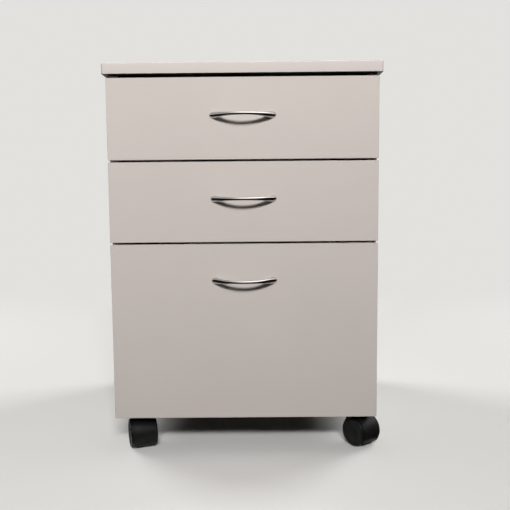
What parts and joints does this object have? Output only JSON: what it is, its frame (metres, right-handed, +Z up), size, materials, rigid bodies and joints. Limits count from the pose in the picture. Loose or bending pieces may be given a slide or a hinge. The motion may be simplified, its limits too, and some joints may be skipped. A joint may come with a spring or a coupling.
{
  "type": "rolling pedestal cabinet",
  "caption": "Rolling under-desk pedestal cabinet: melamine box with overhanging top, shallow drawers over a deep file drawer, chrome bow handles and black twin-wheel castors.",
  "frame": {"origin": "on the floor, at the middle of the overall width and depth", "axes": "+Z up; the drawers open towards -Y; +X to the right as seen from the front"},
  "size_m": [0.4728, 0.4806, 0.659],
  "materials": {
    "melamine": "satin melamine-faced board",
    "drawer_board": "matt white-faced board",
    "beech": "fluted dowel",
    "zinc_steel": "zinc plated",
    "bearing_steel": "polished",
    "chrome": "polished chrome plate",
    "drawer_steel": "grey epoxy coat",
    "roller_nylon": "white nylon",
    "castor_nylon": "black nylon",
    "rail_plastic": "black extrusion"
  },
  "bodies": {
    "carcass": {"top_panel": "melamine", "left_side_panel": "melamine", "right_side_panel": "melamine", "back_panel": "melamine", "bottom_panel": "melamine", "cam_locks": "zinc_steel", "cam_bolts": "zinc_steel", "wood_dowels": "beech", "runner_screws": "zinc_steel", "top_cabinet_runners": "drawer_steel", "middle_cabinet_runners": "drawer_steel", "file_slide_outer_members": "zinc_steel", "castor_plates": "zinc_steel", "castor_screws": "zinc_steel"},
    "top_drawer": {"top_drawer_front": "melamine", "top_drawer_handle": "chrome", "top_drawer_screws": "zinc_steel", "top_drawer_left_side": "drawer_steel", "top_drawer_right_side": "drawer_steel", "top_drawer_back": "drawer_board", "top_drawer_base": "drawer_board"},
    "middle_drawer": {"middle_drawer_front": "melamine", "middle_drawer_handle": "chrome", "middle_drawer_screws": "zinc_steel", "middle_drawer_left_side": "drawer_steel", "middle_drawer_right_side": "drawer_steel", "middle_drawer_back": "drawer_board", "middle_drawer_base": "drawer_board"},
    "file_drawer": {"file_drawer_front": "melamine", "file_drawer_handle": "chrome", "file_drawer_screws": "zinc_steel", "file_drawer_left_side": "drawer_steel", "file_drawer_right_side": "drawer_steel", "file_drawer_back": "drawer_board", "file_drawer_base": "drawer_board", "file_hanging_rails": "rail_plastic", "file_slide_inner_members": "zinc_steel"},
    "top_cabinet_rollers": {"top_cabinet_rollers": "roller_nylon"},
    "middle_cabinet_rollers": {"middle_cabinet_rollers": "roller_nylon"},
    "top_drawer_rollers": {"top_drawer_rollers": "roller_nylon"},
    "middle_drawer_rollers": {"middle_drawer_rollers": "roller_nylon"},
    "file_slide_middle_members": {"file_slide_middle_members": "zinc_steel"},
    "file_slide_outer_balls": {"file_slide_outer_balls": "bearing_steel"},
    "file_slide_inner_balls": {"file_slide_inner_balls": "bearing_steel"},
    "front_left_castor": {"front_left_castor_housing": "castor_nylon", "front_left_castor_axle": "zinc_steel"},
    "front_left_castor_left_wheel": {"front_left_castor_left_wheel": "castor_nylon"},
    "front_left_castor_right_wheel": {"front_left_castor_right_wheel": "castor_nylon"},
    "front_right_castor": {"front_right_castor_housing": "castor_nylon", "front_right_castor_axle": "zinc_steel"},
    "front_right_castor_left_wheel": {"front_right_castor_left_wheel": "castor_nylon"},
    "front_right_castor_right_wheel": {"front_right_castor_right_wheel": "castor_nylon"},
    "rear_left_castor": {"rear_left_castor_housing": "castor_nylon", "rear_left_castor_axle": "zinc_steel"},
    "rear_left_castor_left_wheel": {"rear_left_castor_left_wheel": "castor_nylon"},
    "rear_left_castor_right_wheel": {"rear_left_castor_right_wheel": "castor_nylon"},
    "rear_right_castor": {"rear_right_castor_housing": "castor_nylon", "rear_right_castor_axle": "zinc_steel"},
    "rear_right_castor_left_wheel": {"rear_right_castor_left_wheel": "castor_nylon"},
    "rear_right_castor_right_wheel": {"rear_right_castor_right_wheel": "castor_nylon"}
  },
  "joints": [
    {"name": "top_drawer_slide", "type": "slide", "parent": "carcass", "child": "top_drawer", "axis": [0, -1, 0], "range_m": [0, 0.3]},
    {"name": "middle_drawer_slide", "type": "slide", "parent": "carcass", "child": "middle_drawer", "axis": [0, -1, 0], "range_m": [0, 0.3]},
    {"name": "file_drawer_slide", "type": "slide", "parent": "carcass", "child": "file_drawer", "axis": [0, -1, 0], "range_m": [0, 0.38]},
    {"name": "top_cabinet_rollers_spin", "type": "hinge", "parent": "carcass", "child": "top_cabinet_rollers", "pos_m": [0, -0.17575, 0.534], "axis": [1, 0, 0], "range_deg": [0, 2160]},
    {"name": "top_drawer_rollers_spin", "type": "hinge", "parent": "top_drawer", "child": "top_drawer_rollers", "pos_m": [0, 0.19225, 0.5304], "axis": [1, 0, 0], "range_deg": [0, 2160]},
    {"name": "middle_cabinet_rollers_spin", "type": "hinge", "parent": "carcass", "child": "middle_cabinet_rollers", "pos_m": [0, -0.17575, 0.3965], "axis": [1, 0, 0], "range_deg": [0, 2160]},
    {"name": "middle_drawer_rollers_spin", "type": "hinge", "parent": "middle_drawer", "child": "middle_drawer_rollers", "pos_m": [0, 0.19225, 0.3929], "axis": [1, 0, 0], "range_deg": [0, 2160]},
    {"name": "file_slide_middle_members_slide", "type": "slide", "parent": "carcass", "child": "file_slide_middle_members", "axis": [0, -1, 0], "range_m": [0, 0.19]},
    {"name": "file_slide_outer_balls_slide", "type": "slide", "parent": "carcass", "child": "file_slide_outer_balls", "axis": [0, -1, 0], "range_m": [0, 0.095]},
    {"name": "file_slide_inner_balls_slide", "type": "slide", "parent": "carcass", "child": "file_slide_inner_balls", "axis": [0, -1, 0], "range_m": [0, 0.285]},
    {"name": "front_left_castor_swivel", "type": "hinge", "parent": "carcass", "child": "front_left_castor", "pos_m": [-0.191, -0.16075, 0.06], "axis": [0, 0, 1], "continuous": true},
    {"name": "front_left_castor_left_wheel_spin", "type": "hinge", "parent": "front_left_castor", "child": "front_left_castor_left_wheel", "pos_m": [-0.18384, -0.18155, 0.025], "axis": [0.9455, 0.3256, 0], "continuous": true},
    {"name": "front_left_castor_right_wheel_spin", "type": "hinge", "parent": "front_left_castor", "child": "front_left_castor_right_wheel", "pos_m": [-0.18384, -0.18155, 0.025], "axis": [0.9455, 0.3256, 0], "continuous": true},
    {"name": "front_right_castor_swivel", "type": "hinge", "parent": "carcass", "child": "front_right_castor", "pos_m": [0.191, -0.16075, 0.06], "axis": [0, 0, 1], "continuous": true},
    {"name": "front_right_castor_left_wheel_spin", "type": "hinge", "parent": "front_right_castor", "child": "front_right_castor_left_wheel", "pos_m": [0.20424, -0.17832, 0.025], "axis": [0.7986, 0.6018, 0], "continuous": true},
    {"name": "front_right_castor_right_wheel_spin", "type": "hinge", "parent": "front_right_castor", "child": "front_right_castor_right_wheel", "pos_m": [0.20424, -0.17832, 0.025], "axis": [0.7986, 0.6018, 0], "continuous": true},
    {"name": "rear_left_castor_swivel", "type": "hinge", "parent": "carcass", "child": "rear_left_castor", "pos_m": [-0.191, 0.18725, 0.06], "axis": [0, 0, 1], "continuous": true},
    {"name": "rear_left_castor_left_wheel_spin", "type": "hinge", "parent": "rear_left_castor", "child": "rear_left_castor_left_wheel", "pos_m": [-0.20424, 0.16968, 0.025], "axis": [0.7986, -0.6018, 0], "continuous": true},
    {"name": "rear_left_castor_right_wheel_spin", "type": "hinge", "parent": "rear_left_castor", "child": "rear_left_castor_right_wheel", "pos_m": [-0.20424, 0.16968, 0.025], "axis": [0.7986, -0.6018, 0], "continuous": true},
    {"name": "rear_right_castor_swivel", "type": "hinge", "parent": "carcass", "child": "rear_right_castor", "pos_m": [0.191, 0.18725, 0.06], "axis": [0, 0, 1], "continuous": true},
    {"name": "rear_right_castor_left_wheel_spin", "type": "hinge", "parent": "rear_right_castor", "child": "rear_right_castor_left_wheel", "pos_m": [0.20064, 0.16748, 0.025], "axis": [0.8988, 0.4384, 0], "continuous": true},
    {"name": "rear_right_castor_right_wheel_spin", "type": "hinge", "parent": "rear_right_castor", "child": "rear_right_castor_right_wheel", "pos_m": [0.20064, 0.16748, 0.025], "axis": [0.8988, 0.4384, 0], "continuous": true}
  ],
  "couplings": [
    {"joint": "top_cabinet_rollers_spin", "follows": "top_drawer_slide", "rad_per_m": 125},
    {"joint": "top_drawer_rollers_spin", "follows": "top_drawer_slide", "rad_per_m": 125},
    {"joint": "middle_cabinet_rollers_spin", "follows": "middle_drawer_slide", "rad_per_m": 125},
    {"joint": "middle_drawer_rollers_spin", "follows": "middle_drawer_slide", "rad_per_m": 125},
    {"joint": "file_slide_middle_members_slide", "follows": "file_drawer_slide", "ratio": 0.5},
    {"joint": "file_slide_outer_balls_slide", "follows": "file_drawer_slide", "ratio": 0.25},
    {"joint": "file_slide_inner_balls_slide", "follows": "file_drawer_slide", "ratio": 0.75}
  ]
}
